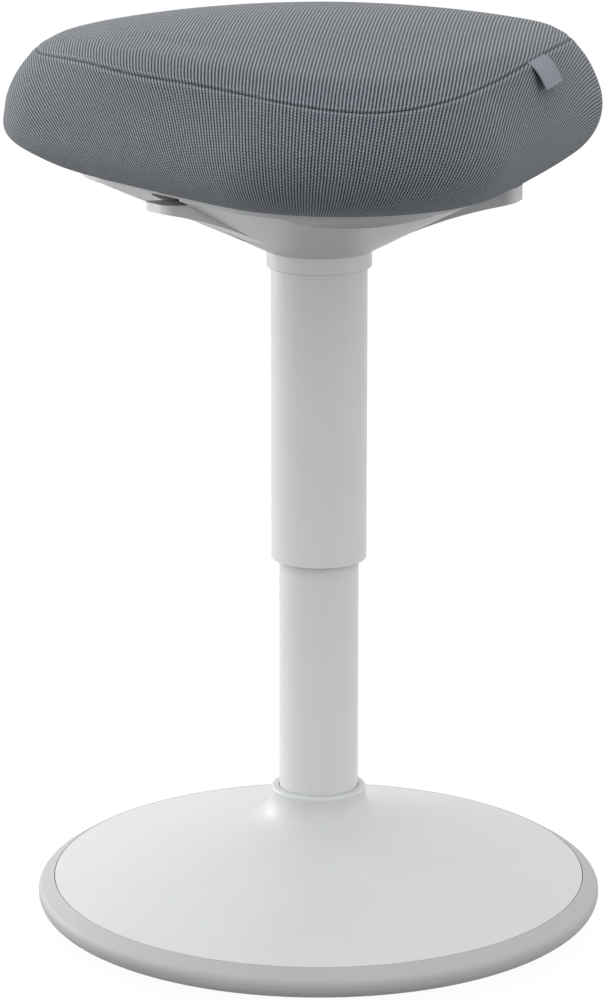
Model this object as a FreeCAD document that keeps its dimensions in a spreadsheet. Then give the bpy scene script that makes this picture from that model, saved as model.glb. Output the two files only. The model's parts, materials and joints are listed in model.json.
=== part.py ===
import FreeCAD, Part
import math
import os
import re
import Sketcher
from FreeCAD import Placement, Rotation, Vector

# Wobble stool: a rounded-triangle cushion on a moulded shell, a telescopic column with a
# gas spring inside, and a round weighted base with a convex foot that lets it rock.
# Millimetres, +Z up, origin on the floor under the column. The front corner points to -Y.

# A size that starts with = follows other sizes.
SIZES = [
    ("floor_z", 0, "height of the resting face"),
    ("tube_radius", 25, "column tube, the size cue of the whole stool"),
    ("base_radius", 179.2, "outside of the rim ring"),
    ("ring_width", 10.4, "how far the rim ring reaches past the cover"),
    ("cover_radius", "=base_radius - ring_width", "outer edge of the domed base cover"),
    ("cover_groove", 0.5, "open line between cover and rim ring"),
    ("cover_edge_z", 27, "top of the cover at its edge"),
    ("cover_rise", 0.285, "rise of the dome per millimetre towards the column"),
    ("cover_wall", 3, "wall of the base cover"),
    ("neck_wall", 5, "from the tube to the outside of the cover's neck"),
    ("neck_radius", "=tube_radius + neck_wall", "outside of the cover's neck"),
    ("neck_top", 85, "top of the cover's neck"),
    ("neck_gap", 0.5, "gap between neck and column tube"),
    ("neck_lip", 6, "height of the neck's narrow lip"),
    ("neck_edge", 2, "rounding on top of the neck"),
    ("neck_flare", 20, "radius of the flare from dome to neck"),
    ("neck_flare_inside", 12, "radius of the flare on the inside"),
    ("ring_bottom", 9, "underside of the rim ring"),
    ("ring_seat", 3.4, "ledge of the rim ring under the cover's edge"),
    ("ring_top_z", 21, "outer edge of the rim ring's sloping top"),
    ("ring_top_round", 5, "rounding of the rim ring's upper edge"),
    ("ring_round", 8, "rounding of the rim ring's lower edge"),
    ("foot_slope", 104.2, "from the foot's flat face out to the rim ring's outside"),
    ("foot_radius", "=base_radius - foot_slope", "flat face that the stool rests on"),
    ("foot_height", 8, "top of the rocker foot, under the ballast"),
    ("foot_rim", 5, "thickness of the rocker foot at its edge"),
    ("foot_shelf", 6, "flat margin of the foot round the ballast"),
    ("foot_lift", 0.5, "how far the foot's edge stays above the rim ring's underside"),
    ("foot_blend", 300, "rounding between the flat face and the rising underside"),
    ("ballast_margin", 49.2, "from the ballast plate out to the rim ring's outside"),
    ("ballast_radius", "=base_radius - ballast_margin", "steel ballast plate"),
    ("ballast_height", 14, "thickness of the ballast plate"),
    ("hub_boss", 48, "boss of the base hub in the ballast"),
    ("hub_flange", 62, "flange of the base hub on the ballast"),
    ("hub_flange_height", 6, "thickness of the hub's flange"),
    ("hub_socket_wall", 4, "wall of the socket for the tube"),
    ("hub_socket", "=tube_radius + hub_socket_wall", "outside of the socket for the tube"),
    ("hub_socket_height", 27, "height of the socket above the flange"),
    ("hub_floor", 7, "floor of the hub under the tube"),
    ("hub_boss_depth", 10, "depth of the hub's boss in the ballast"),
    ("tube_bottom", 24, "lower end of the tube, on the hub's floor"),
    ("hub_pocket", 12, "pocket for the retaining clip"),
    ("hub_bolt_circle", 55, "circle of the hub bolts"),
    ("hub_bolt_radius", 4, "M8 hub bolt"),
    ("hub_bolt_head", 6.5, "head of a hub bolt"),
    ("hub_bolt_head_height", 5, "height of a hub bolt's head"),
    ("tip_gap", 2, "space left past the tip of a bolt or screw"),
    ("screw_margin", 15, "from the base screws out to the ballast plate's edge"),
    ("screw_circle", "=ballast_radius - screw_margin", "circle of the base screws"),
    ("screw_radius", 2.5, "M5 screw"),
    ("screw_head", 5, "head of a base screw"),
    ("screw_head_height", 3, "height of a base screw's head"),
    ("boss_radius", 6, "screw boss under the cover"),
    ("pilot_roof", 1, "boss left above a screw's hole"),
    ("tube_wall", 2, "wall of the column tube"),
    ("tube_top", 422, "top of the column tube"),
    ("bush_length", 80, "guide bush in the top of the tube"),
    ("bush_lip", 2, "lip of the guide bush on the tube"),
    ("cylinder_radius", 14, "gas spring cylinder"),
    ("cylinder_wall", 1.5, "wall of the cylinder"),
    ("cylinder_bottom", 190, "lower end of the cylinder at rest"),
    ("taper_start", 445, "where the cylinder's taper starts"),
    ("taper_end", 470, "top of the cylinder"),
    ("taper_draft", 0.8, "loss of radius over the taper"),
    ("rod_radius", 5, "piston rod"),
    ("rod_bottom", 13, "lower end of the rod"),
    ("piston_z", 376, "underside of the piston"),
    ("piston_height", 12, "thickness of the piston"),
    ("rod_end", 2, "end of the rod above the piston"),
    ("running_fit", 0.05, "radial clearance of sliding and turning fits"),
    ("seal_height", 12, "rod seal in the cylinder's lower end"),
    ("ball_radius", 2, "ball of the thrust bearing"),
    ("ball_circle", 9.5, "circle of the balls"),
    ("ball_count", 8, "balls in the thrust bearing"),
    ("cage_height", 1.6, "thickness of the ball cage"),
    ("cage_margin", 0.6, "cage left beside the balls"),
    ("washer_height", 1.5, "thrust washer"),
    ("washer_radius", 13, "outside of a thrust washer"),
    ("washer_bore", 6, "bore of a thrust washer"),
    ("shoulder_radius", 8, "shoulder of the rod on the bearing"),
    ("shoulder_height", 6, "height of the rod's shoulder"),
    ("clip_radius", 9, "outside of the retaining clip"),
    ("clip_groove", 4, "rod radius in the clip's groove"),
    ("clip_gap", 0.3, "gap between clip and hub floor"),
    ("clip_mouth", 6.4, "opening of the clip"),
    ("valve_z", 440, "top of the cylinder's bore"),
    ("button_radius", 4, "release button on top of the gas spring"),
    ("button_lift", 3, "lower end of the button above the bore"),
    ("button_edge", 0.8, "rounding of the button's top"),
    ("button_top", 473, "top of the released button"),
    ("sleeve_wall", 2, "wall of the sleeve"),
    ("sleeve_gap", 2.9, "gap between tube and sleeve"),
    ("sleeve_radius", "=tube_radius + sleeve_gap + sleeve_wall", "outside of the sleeve that covers the tube"),
    ("sleeve_bottom", 235.7, "lower edge of the sleeve"),
    ("sleeve_top", 442, "upper edge of the sleeve, inside the shell"),
    ("glide_height", 14, "glide ring in the sleeve's lower end"),
    ("hub_plate", 6, "plate that centres the sleeve on the cylinder"),
    ("collar_wall", 2.7, "wall of the collar"),
    ("collar_radius", "=sleeve_radius + collar_wall", "collar under the shell"),
    ("collar_bottom", 421, "lower edge of the collar"),
    ("collar_edge", 1.2, "rounding of the collar's lower edge"),
    ("shell_bottom", 431.5, "shell meets the collar"),
    ("throat_step", 0.4, "how far the shell stands out over the collar"),
    ("shell_throat", "=collar_radius + throat_step", "outside of the shell at the collar"),
    ("rim_z", 479.5, "top of the shell, where the cushion starts"),
    ("flange_height", 3, "thickness of the shell's rim flange"),
    ("seat_reach", 200.2, "axis to the front of the cushion; the seat's outlines are shares of it"),
    ("rim_corner", "=seat_reach * 0.7542", "rim: axis to corner"),
    ("rim_side", "=seat_reach * 0.5944", "rim: axis to middle of a side"),
    ("rim_round", "=seat_reach * 0.4246", "rim: radius of the corners"),
    ("rim_step", 1, "how far the rim stands out over the shell's wall"),
    ("cavity_corner", "=seat_reach * 0.5944", "inside of the shell: axis to corner"),
    ("cavity_side", "=seat_reach * 0.5395", "inside of the shell: axis to side"),
    ("cavity_round", "=seat_reach * 0.4795", "inside of the shell: radius of the corners"),
    ("shell_wall", 3, "wall of the shell at the throat"),
    ("grip_depth", "=seat_reach * 0.6244", "finger recess: axis to its deepest line"),
    ("grip_height", 9, "finger recess: height"),
    ("grip_curve", "=seat_reach * 0.6993", "finger recess: radius seen from above"),
    ("wing_inner", 50, "grip wing: inner end"),
    ("wing_middle", "=seat_reach * 0.4520", "grip wing: middle of its underside"),
    ("wing_outer", "=seat_reach * 0.6394", "grip wing: outer end"),
    ("wing_inner_z", 441.3, "grip wing: underside at the inner end"),
    ("wing_middle_z", 458.6, "grip wing: underside in the middle"),
    ("wing_outer_z", 469.3, "grip wing: underside at the outer end"),
    ("wing_width", 24, "grip wing: width"),
    ("wing_round", 7, "grip wing: rounding of its outer corners"),
    ("wing_drop", 1, "grip wing: its top under the rim"),
    ("wing_flat", 28, "grip wing: length of its flat top"),
    ("wing_root_x", 60, "grip wing: inner end of its top, inside the shell"),
    ("wing_root_z", 455, "grip wing: height of that inner end"),
    ("lever_angle", 210, "lever's direction, in degrees from +X"),
    ("lever_gap", 1.2, "gap beside the lever"),
    ("lever_roof", 1.5, "flange left above the lever"),
    ("lever_end_z", 474.6, "top of the lever at its outer end"),
    ("lever_fall", 2.6, "fall of the lever's top over the flat's length"),
    ("lever_blade", 5.5, "thickness of the lever's blade at its inner end"),
    ("lever_arm", 12, "width of the lever's inner arm"),
    ("arm_tip", 6, "lever arm: reach past the stool's axis"),
    ("arm_bend", 18, "lever arm: end of its flat over the button"),
    ("arm_height", 4.2, "lever arm: thickness over the button"),
    ("arm_knee", 32, "lever arm: lower end of its slope"),
    ("arm_top", 6, "lever arm: top above the pivot"),
    ("arm_heel", 56, "lever arm: inner end of its web on the blade"),
    ("arm_heel_z", 445, "lever arm: height of that inner end"),
    ("arm_toe", 90.5, "lever arm: outer end of its web"),
    ("arm_toe_z", 465, "lever arm: height of that outer end"),
    ("pivot_x", 60, "axis to lever pivot"),
    ("pivot_z", 466, "height of the lever pivot"),
    ("pivot_radius", 2.5, "lever pivot pin"),
    ("pivot_length", 22, "length of the pivot pin"),
    ("bracket_length", 16, "lever bracket along the lever"),
    ("ear_height", 5, "how far the bracket's ears reach past the pivot"),
    ("ear_wall", 2.5, "thickness of the bracket's ears"),
    ("pan_radius", 96, "flange of the seat pan"),
    ("pan_wall", 3, "sheet of the seat pan"),
    ("pan_cup", 34, "outside of the pan's cup"),
    ("pan_cup_depth", 24.5, "depth of the pan's cup"),
    ("window_height", 16, "window for the lever in the cup"),
    ("socket_wall", 4, "wall of the taper socket"),
    ("socket_radius", "=cylinder_radius + socket_wall", "taper socket"),
    ("socket_bottom", 447, "lower end of the taper socket"),
    ("socket_top", 468, "upper end of the taper socket"),
    ("socket_flange", 24, "flange of the taper socket"),
    ("bolt_circle", 80, "circle of the seat bolts"),
    ("bolt_radius", 3, "M6 seat bolt"),
    ("bolt_head", 5.5, "head of a seat bolt"),
    ("bolt_head_height", 4, "height of a seat bolt's head"),
    ("nut_barrel", 4.2, "barrel of a T-nut"),
    ("nut_flange", 9, "flange of a T-nut"),
    ("nut_flange_height", 1.5, "thickness of a T-nut's flange"),
    ("shell_screw_circle", "=seat_reach * 0.6843", "circle of the shell screws"),
    ("shell_screw_radius", 2, "shell screw"),
    ("shell_screw_head", 4, "head of a shell screw"),
    ("shell_screw_head_height", 2, "head of a shell screw, let into the flange"),
    ("shell_screw_depth", 8.5, "shell screw in the board"),
    ("board_height", 12, "plywood seat board"),
    ("board_inset", 2, "board edge inside the rim"),
    ("hole_gap", 0.2, "clearance of a fastener in its hole"),
    ("soft_gap", 0.3, "clearance round a soft piece"),
    ("cover_cloth", 2, "cloth of the cushion with its lining"),
    ("widest_z", 511, "height of the cushion's widest line"),
    ("wide_corner", "=seat_reach", "widest line: axis to corner"),
    ("wide_side", "=seat_reach * 0.7642", "widest line: axis to middle of a side"),
    ("wide_round", "=seat_reach * 0.5045", "widest line: radius of the corners"),
    ("flank_z", 530, "flank section above the widest line"),
    ("flank_corner", "=seat_reach * 0.9790", "flank: axis to corner"),
    ("flank_side", "=seat_reach * 0.7567", "flank: axis to side"),
    ("flank_round", "=seat_reach * 0.4795", "flank: radius of the corners"),
    ("shoulder_z", 549, "shoulder section near the seam"),
    ("shoulder_corner", "=seat_reach * 0.9066", "shoulder: axis to corner"),
    ("shoulder_side", "=seat_reach * 0.7418", "shoulder: axis to side"),
    ("shoulder_round", "=seat_reach * 0.4595", "shoulder: radius of the corners"),
    ("brow_z", 560, "section just inside the seam"),
    ("brow_corner", "=seat_reach * 0.8217", "brow: axis to corner"),
    ("brow_side", "=seat_reach * 0.7168", "brow: axis to side"),
    ("brow_round", "=seat_reach * 0.4595", "brow: radius of the corners"),
    ("verge_z", 566, "section where the flank meets the crown"),
    ("verge_corner", "=seat_reach * 0.7193", "verge: axis to corner"),
    ("verge_side", "=seat_reach * 0.6643", "verge: axis to side"),
    ("verge_round", "=seat_reach * 0.5015", "verge: radius of the corners"),
    ("peak_z", 582, "end of the flank's form, above the crown"),
    ("peak_corner", "=seat_reach * 0.5015", "end of the form: axis to corner"),
    ("peak_side", "=seat_reach * 0.4510", "end of the form: axis to side"),
    ("peak_round", "=seat_reach * 0.3197", "end of the form: radius of the corners"),
    ("crown_z", 577, "highest point of the cushion"),
    ("crown_radius", 800, "radius of the crowned top"),
    ("seam_low", 540, "height from which the seam's outline counts"),
    ("seam_corner", "=seat_reach * 0.9116", "seam from above: axis to corner"),
    ("seam_side", "=seat_reach * 0.7193", "seam from above: axis to side"),
    ("seam_round", "=seat_reach * 0.4196", "seam from above: radius of the corners"),
    ("tag_angle", 327, "woven tag's direction, in degrees from +X"),
    ("tag_z", 550, "height of the middle of the tag"),
    ("tag_width", 12, "woven tag: width"),
    ("tag_length", 17, "woven tag: length"),
    ("tag_height", 0.8, "woven tag: thickness"),
]
CORNERS = (270, 30, 150)
SIDES = (330, 90, 210)

doc = FreeCAD.newDocument("WobbleStool")
sheet = doc.addObject("Spreadsheet::Sheet", "Sizes")
aliases = set()
for line, (alias, number, note) in enumerate(SIZES, start=1):
    sheet.set(f"A{line}", alias)
    sheet.set(f"B{line}", str(number))
    sheet.set(f"C{line}", note)
    sheet.setAlias(f"B{line}", alias)
    aliases.add(alias)
doc.recompute()

nodes = []
reader = doc.addObject("App::FeaturePython", "Reader")


def bound(text):
    """An expression on the sheet, from plain alias names."""
    return re.sub(r"[a-z][a-z_]*", lambda word: f"Sizes.{word[0]}" if word[0] in aliases else word[0], str(text))


def mm(text):
    """The number that an expression on the sheet has now."""
    return float(reader.evalExpression(bound(text)))


def drive(thing, **properties):
    """Bind properties to the sheet; two underscores stand for a dot."""
    for name, text in properties.items():
        thing.setExpression(name.replace("__", "."), bound(text))
    return thing


def keep(thing, label):
    thing.Label = label
    nodes.append(thing)
    return thing


def turned(label, profile, rounds=(), final=True):
    """A body of revolution about Z: (radius, height) corners, then (radius, height, rounding)."""
    body = doc.addObject("PartDesign::Body", f"{label}_body")
    sketch = body.newObject("Sketcher::SketchObject", f"{label}_profile")
    plane = [feature for feature in body.Origin.OriginFeatures if feature.Role == "XZ_Plane"][0]
    sketch.AttachmentSupport = [(plane, "")]
    sketch.MapMode = "FlatFace"
    points = [Vector(mm(r), mm(z), 0) for r, z in profile]
    for start, end in zip(points, points[1:] + points[:1]):
        sketch.addGeometry(Part.LineSegment(start, end), False)
    count = len(points)
    for index in range(count):
        sketch.addConstraint(Sketcher.Constraint("Coincident", index, 2, (index + 1) % count, 1))
    for index, (r, z) in enumerate(profile):
        for kind, axis, text, number in (("DistanceX", -2, r, points[index].x), ("DistanceY", -1, z, points[index].y)):
            if text == 0:
                sketch.addConstraint(Sketcher.Constraint("PointOnObject", index, 1, axis))
            else:
                place = sketch.addConstraint(Sketcher.Constraint(kind, -1, 1, index, 1, number))
                sketch.setExpression(f"Constraints[{place}]", bound(text))
    turn = body.newObject("PartDesign::Revolution", f"{label}_turn")
    turn.Profile = sketch
    turn.ReferenceAxis = (sketch, ["V_Axis"])
    turn.Angle = 360
    sketch.Visibility = False
    doc.recompute()
    last = turn
    for order, (r, z, rounding) in enumerate(rounds):
        fillet = body.newObject("PartDesign::Fillet", f"{label}_round_{order}")
        fillet.Base = (last, rim_edges(last.Shape, mm(r), mm(z)))
        fillet.Radius = mm(rounding)
        drive(fillet, Radius=rounding)
        doc.recompute()
        last = fillet
    body.Tip = last
    return keep(body, label) if final else body


def rim_edges(shape, radius, height):
    """Names of the circular edges of this radius and height about Z."""
    found = []
    for index, edge in enumerate(shape.Edges, start=1):
        curve = edge.Curve
        if isinstance(curve, Part.Circle):
            if abs(curve.Radius - radius) < 0.01 and abs(curve.Center.z - height) < 0.01:
                found.append(f"Edge{index}")
    return found


def rod(name, radius, bottom, height, reach=0, angle=0):
    """An upright cylinder at a reach and angle from the axis."""
    pin = doc.addObject("Part::Cylinder", name)
    return drive(pin, Radius=radius, Height=height, Placement__Base__z=bottom,
                 Placement__Base__x=f"({reach}) * cos(({angle}) * 1 deg)",
                 Placement__Base__y=f"({reach}) * sin(({angle}) * 1 deg)")


def joined(name, shapes, kind="Part::MultiFuse"):
    """One object from several: fused, or a group of separate solids."""
    group = doc.addObject(kind, name)
    if kind == "Part::Compound":
        group.Links = shapes
    else:
        group.Shapes = shapes
    return group


def cut(name, base, tool):
    piece = doc.addObject("Part::Cut", name)
    piece.Base = base
    piece.Tool = tool
    return piece


def ring_of_rods(name, radius, bottom, height, reach, angles):
    pins = [rod(f"{name}_{order}", radius, bottom, height, reach, angle) for order, angle in enumerate(angles)]
    return joined(name, pins, "Part::Compound")


def fastener_ring(label, radius, bottom, height, head, head_bottom, head_height, reach, angles):
    """Identical screws on a circle, as separate solids in one node."""
    screws = []
    for order, angle in enumerate(angles):
        shank = rod(f"{label}_shank_{order}", radius, bottom, height, reach, angle)
        cap = rod(f"{label}_head_{order}", head, head_bottom, head_height, reach, angle)
        screws.append(joined(f"{label}_screw_{order}", [shank, cap]))
    return keep(joined(label, screws, "Part::Compound"), label)


def even_angles(count, first=0):
    return [first + 360 * order / count for order in range(count)]


# Base: rocker foot, ballast, hub, cover and rim ring
foot_edge = "cover_radius - ring_seat - soft_gap"
foot_edge_z = "ring_bottom + foot_lift"
rocker_blank = turned("rocker_foot_blank", [
    (0, 0),
    ("foot_radius", 0),
    (foot_edge, foot_edge_z),
    (foot_edge, f"{foot_edge_z} + foot_rim"),
    ("ballast_radius + foot_shelf", "foot_height"),
    (0, "foot_height"),
], [("foot_radius", "floor_z", "foot_blend")], final=False)
screw_angles = even_angles(6, first=30)
head_pockets = ring_of_rods("head_pockets", "boss_radius", "floor_z", "foot_height", "screw_circle", screw_angles)
keep(cut("rocker_foot", rocker_blank, head_pockets), "rocker_foot")

ballast_top = "foot_height + ballast_height"
ballast_blank = turned("ballast_blank", [
    ("hub_boss + hole_gap", "foot_height"),
    ("ballast_radius", "foot_height"),
    ("ballast_radius", ballast_top),
    ("hub_boss + hole_gap", ballast_top),
], final=False)
ballast_holes = ring_of_rods("ballast_holes", "screw_radius + hole_gap", "foot_height", "ballast_height",
                             "screw_circle", screw_angles)
bolt_angles = even_angles(4, first=45)
bolt_sockets = ring_of_rods("bolt_sockets", "hub_bolt_radius", "foot_height", "ballast_height",
                            "hub_bolt_circle", bolt_angles)
keep(cut("ballast_plate", cut("ballast_drilled", ballast_blank, ballast_holes), bolt_sockets), "ballast_plate")

hub_boss_bottom = f"{ballast_top} - hub_boss_depth"
hub_flange_top = f"{ballast_top} + hub_flange_height"
rod_hole = "rod_radius + running_fit"
hub_blank = turned("hub_blank", [
    (rod_hole, "tube_bottom - hub_floor"),
    ("hub_pocket", "tube_bottom - hub_floor"),
    ("hub_pocket", hub_boss_bottom),
    ("hub_boss", hub_boss_bottom),
    ("hub_boss", ballast_top),
    ("hub_flange", ballast_top),
    ("hub_flange", hub_flange_top),
    ("hub_socket", hub_flange_top),
    ("hub_socket", f"{hub_flange_top} + hub_socket_height"),
    ("tube_radius", f"{hub_flange_top} + hub_socket_height"),
    ("tube_radius", "tube_bottom"),
    (rod_hole, "tube_bottom"),
], final=False)
hub_holes = ring_of_rods("hub_holes", "hub_bolt_radius + hole_gap", ballast_top, "hub_flange_height",
                         "hub_bolt_circle", bolt_angles)
keep(cut("base_hub", hub_blank, hub_holes), "base_hub")
fastener_ring("hub_bolts", "hub_bolt_radius", "foot_height + tip_gap", f"{hub_flange_top} - foot_height - tip_gap",
              "hub_bolt_head", hub_flange_top, "hub_bolt_head_height", "hub_bolt_circle", bolt_angles)

cover_inner = "neck_radius - cover_wall"
dome_top = "cover_edge_z + (cover_radius - neck_radius) * cover_rise"
dome_under = f"cover_edge_z + (cover_radius - {cover_inner}) * cover_rise - cover_wall"
boss_top = "cover_edge_z + (cover_radius - screw_circle) * cover_rise - cover_wall / 2"
cover_blank = turned("cover_blank", [
    ("cover_radius", "cover_edge_z - cover_wall"),
    ("cover_radius", "cover_edge_z"),
    ("neck_radius", dome_top),
    ("neck_radius", "neck_top"),
    ("tube_radius + neck_gap", "neck_top"),
    ("tube_radius + neck_gap", "neck_top - neck_lip"),
    (cover_inner, "neck_top - neck_lip"),
    (cover_inner, dome_under),
], [
    ("neck_radius", dome_top, "neck_flare"),
    ("neck_radius", "neck_top", "neck_edge"),
    (cover_inner, dome_under, "neck_flare_inside"),
], final=False)
cover_bosses = ring_of_rods("cover_bosses", "boss_radius", ballast_top, f"{boss_top} - ({ballast_top})",
                            "screw_circle", screw_angles)
pilot_holes = ring_of_rods("pilot_holes", "screw_radius", ballast_top, f"{boss_top} - ({ballast_top}) - pilot_roof",
                           "screw_circle", screw_angles)
keep(cut("base_cover", joined("cover_with_bosses", [cover_blank, cover_bosses]), pilot_holes), "base_cover")
fastener_ring("base_screws", "screw_radius", "foot_height", f"{boss_top} - pilot_roof - tip_gap - foot_height",
              "screw_head", "foot_height - screw_head_height", "screw_head_height", "screw_circle", screw_angles)

ring_inner = "cover_radius - ring_seat"
turned("rim_ring", [
    (ring_inner, "ring_bottom"),
    ("base_radius", "ring_bottom"),
    ("base_radius", "ring_top_z"),
    ("cover_radius + cover_groove", "cover_edge_z"),
    ("cover_radius + cover_groove", "cover_edge_z - cover_wall"),
    (ring_inner, "cover_edge_z - cover_wall"),
], [
    ("base_radius", "ring_bottom", "ring_round"),
    ("base_radius", "ring_top_z", "ring_top_round"),
])

# Column: tube and guide bush on the base, thrust bearing and rod that turn in it
tube_bore = "tube_radius - tube_wall"
turned("column_tube", [
    (tube_bore, "tube_bottom"),
    ("tube_radius", "tube_bottom"),
    ("tube_radius", "tube_top"),
    (tube_bore, "tube_top"),
])
bush_bore = "cylinder_radius + running_fit"
turned("guide_bush", [
    (bush_bore, "tube_top - bush_length"),
    (tube_bore, "tube_top - bush_length"),
    (tube_bore, "tube_top"),
    ("tube_radius", "tube_top"),
    ("tube_radius", "tube_top + bush_lip"),
    (bush_bore, "tube_top + bush_lip"),
])


def washer(label, inner, outer, bottom, height):
    return turned(label, [(inner, bottom), (outer, bottom), (outer, f"{bottom} + {height}"),
                          (inner, f"{bottom} + {height}")])


ball_z = "tube_bottom + washer_height + running_fit + ball_radius"
shoulder_z = "tube_bottom + 2 * washer_height + 2 * running_fit + 2 * ball_radius"
washer("thrust_washer_lower", "washer_bore", "washer_radius", "tube_bottom", "washer_height")
washer("thrust_washer_upper", "washer_bore", "washer_radius", f"{shoulder_z} - washer_height", "washer_height")
ball_angles = even_angles(int(mm("ball_count")))
balls = []
for order, angle in enumerate(ball_angles):
    ball = doc.addObject("Part::Sphere", f"ball_{order}")
    balls.append(drive(ball, Radius="ball_radius", Placement__Base__z=ball_z,
                       Placement__Base__x=f"ball_circle * cos({angle} * 1 deg)",
                       Placement__Base__y=f"ball_circle * sin({angle} * 1 deg)"))
keep(joined("bearing_balls", balls, "Part::Compound"), "bearing_balls")
cage_bottom = f"{ball_z} - cage_height / 2"
cage_top = f"{ball_z} + cage_height / 2"
cage_blank = turned("cage_blank", [
    ("ball_circle - ball_radius - cage_margin", cage_bottom),
    ("ball_circle + ball_radius + cage_margin", cage_bottom),
    ("ball_circle + ball_radius + cage_margin", cage_top),
    ("ball_circle - ball_radius - cage_margin", cage_top),
], final=False)
cage_holes = ring_of_rods("cage_holes", "ball_radius + running_fit * 2", cage_bottom, "cage_height",
                          "ball_circle", ball_angles)
keep(cut("bearing_cage", cage_blank, cage_holes), "bearing_cage")

clip_bottom = "tube_bottom - hub_floor - clip_gap - washer_height"
rod_top = "piston_z + piston_height + rod_end"
turned("piston_rod", [
    (0, "rod_bottom"),
    ("rod_radius", "rod_bottom"),
    ("rod_radius", clip_bottom),
    ("clip_groove", clip_bottom),
    ("clip_groove", f"{clip_bottom} + washer_height"),
    ("rod_radius", f"{clip_bottom} + washer_height"),
    ("rod_radius", shoulder_z),
    ("shoulder_radius", shoulder_z),
    ("shoulder_radius", f"{shoulder_z} + shoulder_height"),
    ("rod_radius", f"{shoulder_z} + shoulder_height"),
    ("rod_radius", rod_top),
    (0, rod_top),
])
clip_blank = turned("clip_blank", [
    ("clip_groove", clip_bottom),
    ("clip_radius", clip_bottom),
    ("clip_radius", f"{clip_bottom} + washer_height"),
    ("clip_groove", f"{clip_bottom} + washer_height"),
], final=False)
clip_mouth = doc.addObject("Part::Box", "clip_mouth")
drive(clip_mouth, Length="clip_radius", Width="clip_mouth", Height="washer_height",
      Placement__Base__y="-clip_mouth / 2", Placement__Base__z=clip_bottom)
keep(cut("retaining_clip", clip_blank, clip_mouth), "retaining_clip")
cylinder_bore = "cylinder_radius - cylinder_wall"
washer("piston", "rod_radius", f"{cylinder_bore} - running_fit", "piston_z", "piston_height")

# Gas spring cylinder, the sleeve round it and what ties both to the seat
button_bore = "button_radius + running_fit"
turned("gas_cylinder", [
    (cylinder_bore, "cylinder_bottom"),
    ("cylinder_radius", "cylinder_bottom"),
    ("cylinder_radius", "taper_start"),
    ("cylinder_radius - taper_draft", "taper_end"),
    (button_bore, "taper_end"),
    (button_bore, "valve_z"),
    (cylinder_bore, "valve_z"),
])
washer("rod_seal", rod_hole, cylinder_bore, "cylinder_bottom", "seal_height")
turned("release_button", [
    (0, "valve_z + button_lift"),
    ("button_radius", "valve_z + button_lift"),
    ("button_radius", "button_top"),
    (0, "button_top"),
], [("button_radius", "button_top", "button_edge")])


def taper_at(height):
    return f"cylinder_radius - taper_draft * ({height} - taper_start) / (taper_end - taper_start)"


pan_floor = "rim_z - pan_cup_depth"
turned("taper_socket", [
    (taper_at("socket_bottom"), "socket_bottom"),
    ("socket_radius", "socket_bottom"),
    ("socket_radius", f"{pan_floor} + pan_wall"),
    ("socket_flange", f"{pan_floor} + pan_wall"),
    ("socket_flange", f"{pan_floor} + 2 * pan_wall"),
    ("socket_radius", f"{pan_floor} + 2 * pan_wall"),
    ("socket_radius", "socket_top"),
    (taper_at("socket_top"), "socket_top"),
])
sleeve_bore = "sleeve_radius - sleeve_wall"
turned("column_sleeve", [
    (sleeve_bore, "sleeve_bottom"),
    ("sleeve_radius", "sleeve_bottom"),
    ("sleeve_radius", "sleeve_top"),
    (sleeve_bore, "sleeve_top"),
])
washer("sleeve_hub", "cylinder_radius", sleeve_bore, "sleeve_top - hub_plate", "hub_plate")
washer("sleeve_glide", "tube_radius + running_fit", sleeve_bore, "sleeve_bottom", "glide_height")
turned("collar_ring", [
    ("sleeve_radius", "collar_bottom"),
    ("collar_radius", "collar_bottom"),
    ("collar_radius", "shell_bottom"),
    ("sleeve_radius", "shell_bottom"),
], [("collar_radius", "collar_bottom", "collar_edge")])

# Seat pan: a flanged steel cup that carries the taper socket
pan_top = "rim_z - pan_wall"
pan_blank = turned("pan_blank", [
    ("socket_radius", pan_floor),
    ("pan_cup", pan_floor),
    ("pan_cup", pan_top),
    ("pan_radius", pan_top),
    ("pan_radius", "rim_z"),
    ("pan_cup - pan_wall", "rim_z"),
    ("pan_cup - pan_wall", f"{pan_floor} + pan_wall"),
    ("socket_radius", f"{pan_floor} + pan_wall"),
], final=False)
seat_bolt_angles = even_angles(4)
pan_holes = ring_of_rods("pan_holes", "bolt_radius + hole_gap", pan_top, "pan_wall", "bolt_circle", seat_bolt_angles)
lever_window = doc.addObject("Part::Box", "lever_window")
window_width = "(lever_arm + 2 * lever_gap)"
window_start = "(pan_cup - 2 * pan_wall)"
drive(lever_window, Length="4 * pan_wall", Width=window_width, Height="window_height",
      Placement__Base__x=f"{window_start} * cos(lever_angle * 1 deg) + {window_width} / 2 * sin(lever_angle * 1 deg)",
      Placement__Base__y=f"{window_start} * sin(lever_angle * 1 deg) - {window_width} / 2 * cos(lever_angle * 1 deg)",
      Placement__Base__z=f"{pan_top} - window_height",
      Placement__Rotation__Angle="lever_angle * 1 deg")
keep(cut("seat_pan", cut("pan_drilled", pan_blank, pan_holes), lever_window), "seat_pan")

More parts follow.
